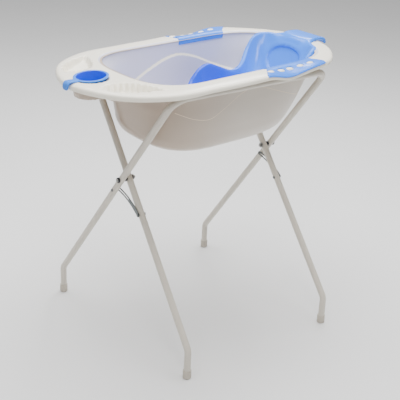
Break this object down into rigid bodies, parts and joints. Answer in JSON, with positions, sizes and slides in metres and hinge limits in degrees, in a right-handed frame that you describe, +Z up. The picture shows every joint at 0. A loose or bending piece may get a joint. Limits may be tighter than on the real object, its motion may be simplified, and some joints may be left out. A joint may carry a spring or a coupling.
{
  "type": "baby bathtub on a folding stand",
  "caption": "Baby bathtub with a wide rim, seat insert, hand grips and rinse cup, resting on a folding X-shaped tube stand.",
  "frame": {"origin": "on the floor, under the middle of the bounding box", "axes": "+X along the tub towards the head end, +Y towards the far side, +Z up"},
  "size_m": [1.0066, 0.7158, 0.9283],
  "materials": {
    "tub_plastic": "gloss",
    "grip_plastic": "satin",
    "seat_plastic": "gloss",
    "cup_plastic": "gloss",
    "frame_paint": "satin",
    "cap_rubber": "matt",
    "bolt_steel": "satin",
    "ring_plastic": "satin",
    "stay_steel": "satin",
    "drain_plastic": "satin",
    "seal_rubber": "matt"
  },
  "bodies": {
    "pivot_hardware": {"pivot_bolt_left": "bolt_steel", "pivot_bolt_right": "bolt_steel", "pivot_nut_left": "bolt_steel", "pivot_nut_right": "bolt_steel", "pivot_spacer_left": "ring_plastic", "pivot_spacer_right": "ring_plastic", "pivot_ring_left": "ring_plastic", "pivot_ring_right": "ring_plastic", "pivot_washer_left": "ring_plastic", "pivot_washer_right": "ring_plastic"},
    "outer_frame": {"outer_frame_tube": "frame_paint", "foot_cap_outer_left": "cap_rubber", "foot_cap_outer_right": "cap_rubber", "stay_pin_left": "bolt_steel", "stay_pin_right": "bolt_steel"},
    "inner_frame": {"inner_frame_tube": "frame_paint", "foot_cap_inner_left": "cap_rubber", "foot_cap_inner_right": "cap_rubber", "stay_rivet_left": "bolt_steel", "stay_rivet_right": "bolt_steel"},
    "stay_left": {"stay_arm_left": "stay_steel"},
    "stay_right": {"stay_arm_right": "stay_steel"},
    "tub": {"tub_shell": "tub_plastic", "grip_near": "grip_plastic", "grip_far": "grip_plastic", "drain_outlet": "drain_plastic", "drain_seal": "seal_rubber", "drain_nut": "drain_plastic"},
    "seat": {"bath_seat": "seat_plastic"},
    "cup": {"rinse_cup": "cup_plastic"},
    "plug": {"drain_plug": "drain_plastic"}
  },
  "joints": [
    {"name": "outer_frame_fold", "type": "hinge", "parent": "pivot_hardware", "child": "outer_frame", "pos_m": [0.015, 0, 0.555], "axis": [-1, 0, 0], "range_deg": [0, 32]},
    {"name": "inner_frame_fold", "type": "hinge", "parent": "pivot_hardware", "child": "inner_frame", "pos_m": [0.015, 0, 0.555], "axis": [1, 0, 0], "range_deg": [0, 32]},
    {"name": "tub_lift", "type": "slide", "parent": "pivot_hardware", "child": "tub", "axis": [0, 0, 1], "range_m": [0, 1.68]},
    {"name": "stay_left_turn", "type": "hinge", "parent": "inner_frame", "child": "stay_left", "pos_m": [-0.2872, -0.07404, 0.45678], "axis": [1, 0, 0], "range_deg": [0, 19]},
    {"name": "stay_right_turn", "type": "hinge", "parent": "inner_frame", "child": "stay_right", "pos_m": [0.3172, -0.07404, 0.45678], "axis": [1, 0, 0], "range_deg": [0, 19]},
    {"name": "seat_lift", "type": "slide", "parent": "tub", "child": "seat", "axis": [-0.0236, 0, 0.9997], "range_m": [0, 0.3]},
    {"name": "cup_lift", "type": "slide", "parent": "tub", "child": "cup", "axis": [-0.0236, 0, 0.9997], "range_m": [0, 0.12]},
    {"name": "plug_lift", "type": "slide", "parent": "tub", "child": "plug", "axis": [-0.0236, 0, 0.9997], "range_m": [0, 0.06]}
  ],
  "couplings": [
    {"joint": "inner_frame_fold", "follows": "outer_frame_fold", "ratio": 1},
    {"joint": "tub_lift", "follows": "outer_frame_fold", "m_per_rad": 3},
    {"joint": "stay_left_turn", "follows": "outer_frame_fold", "ratio": 0.5877},
    {"joint": "stay_right_turn", "follows": "outer_frame_fold", "ratio": 0.5877}
  ]
}
